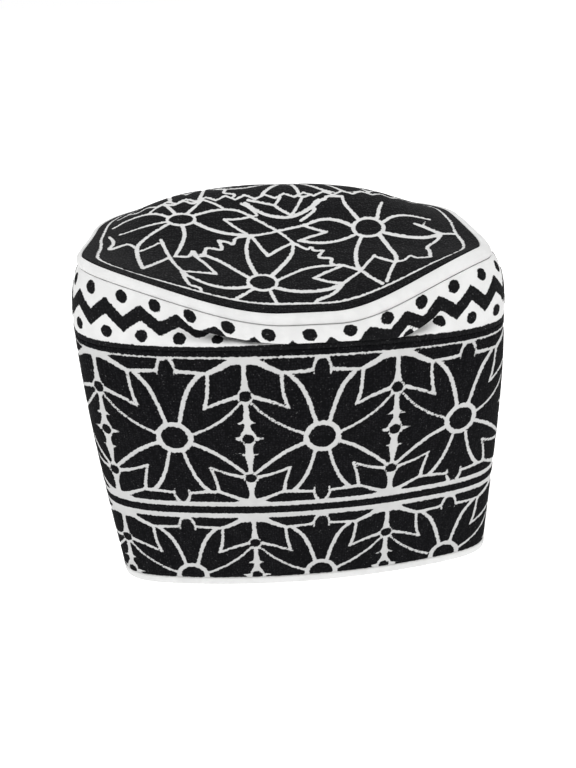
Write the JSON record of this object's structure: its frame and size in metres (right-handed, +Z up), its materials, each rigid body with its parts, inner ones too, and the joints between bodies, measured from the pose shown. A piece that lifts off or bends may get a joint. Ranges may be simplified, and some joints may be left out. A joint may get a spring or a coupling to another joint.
{
  "type": "embroidered cap",
  "caption": "Tall, brimless cotton cap with an embroidered side wall and crown, a pleated upper band and a rolled hem, open below.",
  "frame": {"origin": "middle of the bounding box's bottom face, on the surface that the hem rests on", "axes": "+X to the wearer's left, along the longest side, +Y to the back, +Z up, so the front faces -Y"},
  "size_m": [0.1914, 0.1513, 0.1692],
  "materials": {
    "hem_cotton": "matte white cotton, rolled and stitched",
    "side_embroidery": "black thread embroidery over white cotton",
    "band_cotton": "matte white cotton with black dots and a zigzag",
    "welt_cotton": "matte white cotton, rolled seam",
    "crown_embroidery": "black thread embroidery over white cotton"
  },
  "bodies": {
    "root": {"hem_binding": "hem_cotton", "side_band": "side_embroidery", "upper_band": "band_cotton", "crown_welt": "welt_cotton", "crown": "crown_embroidery"}
  },
  "joints": []
}
